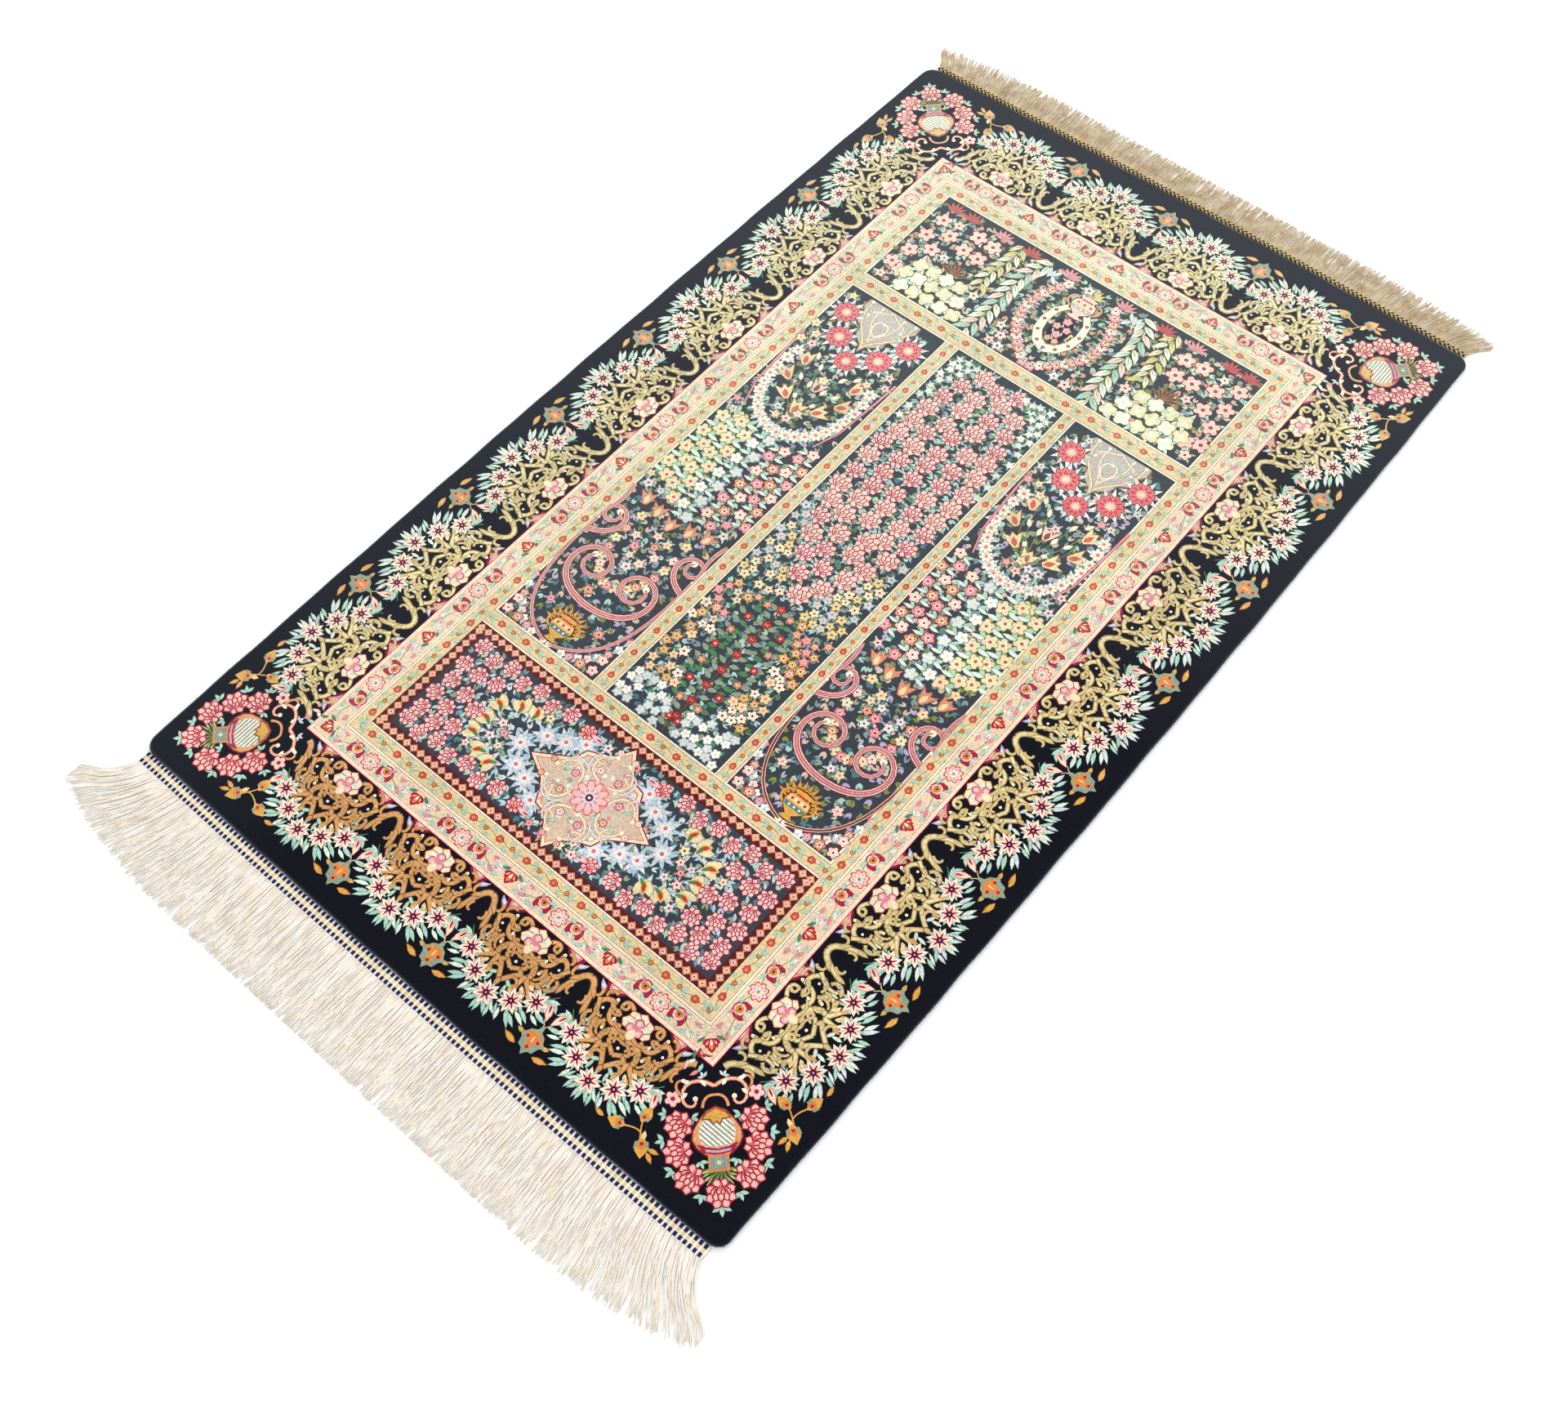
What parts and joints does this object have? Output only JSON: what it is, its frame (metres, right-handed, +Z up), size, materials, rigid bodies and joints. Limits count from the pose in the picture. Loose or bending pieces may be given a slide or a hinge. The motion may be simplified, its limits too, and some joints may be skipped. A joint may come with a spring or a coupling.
{
  "type": "persian rug",
  "caption": "Flat knotted silk rug with a dark ground, a flowered pile face, a checked woven strip and long fringe at one end, and a twined chain and short fringe at the other.",
  "frame": {"origin": "centre of the whole rug's footprint, fringes included, on the plane it lies on", "axes": "+Y along the rug's length, from the checked end to the chained end; +Z up out of the pile"},
  "size_m": [0.8616, 1.4826, 0.0055],
  "materials": {
    "silk_pile": "short dense silk pile with a soft sheen",
    "kilim_cotton": "matt flat weave in navy, grey-white and cream",
    "chain_cotton": "matt two-colour twined cord",
    "near_fringe_cotton": "matt ivory twisted yarn",
    "far_fringe_cotton": "matt beige twisted yarn"
  },
  "bodies": {
    "root": {"pile_body": "silk_pile", "near_kilim": "kilim_cotton", "far_chain": "chain_cotton", "near_fringe": "near_fringe_cotton", "far_fringe": "far_fringe_cotton"}
  },
  "joints": []
}
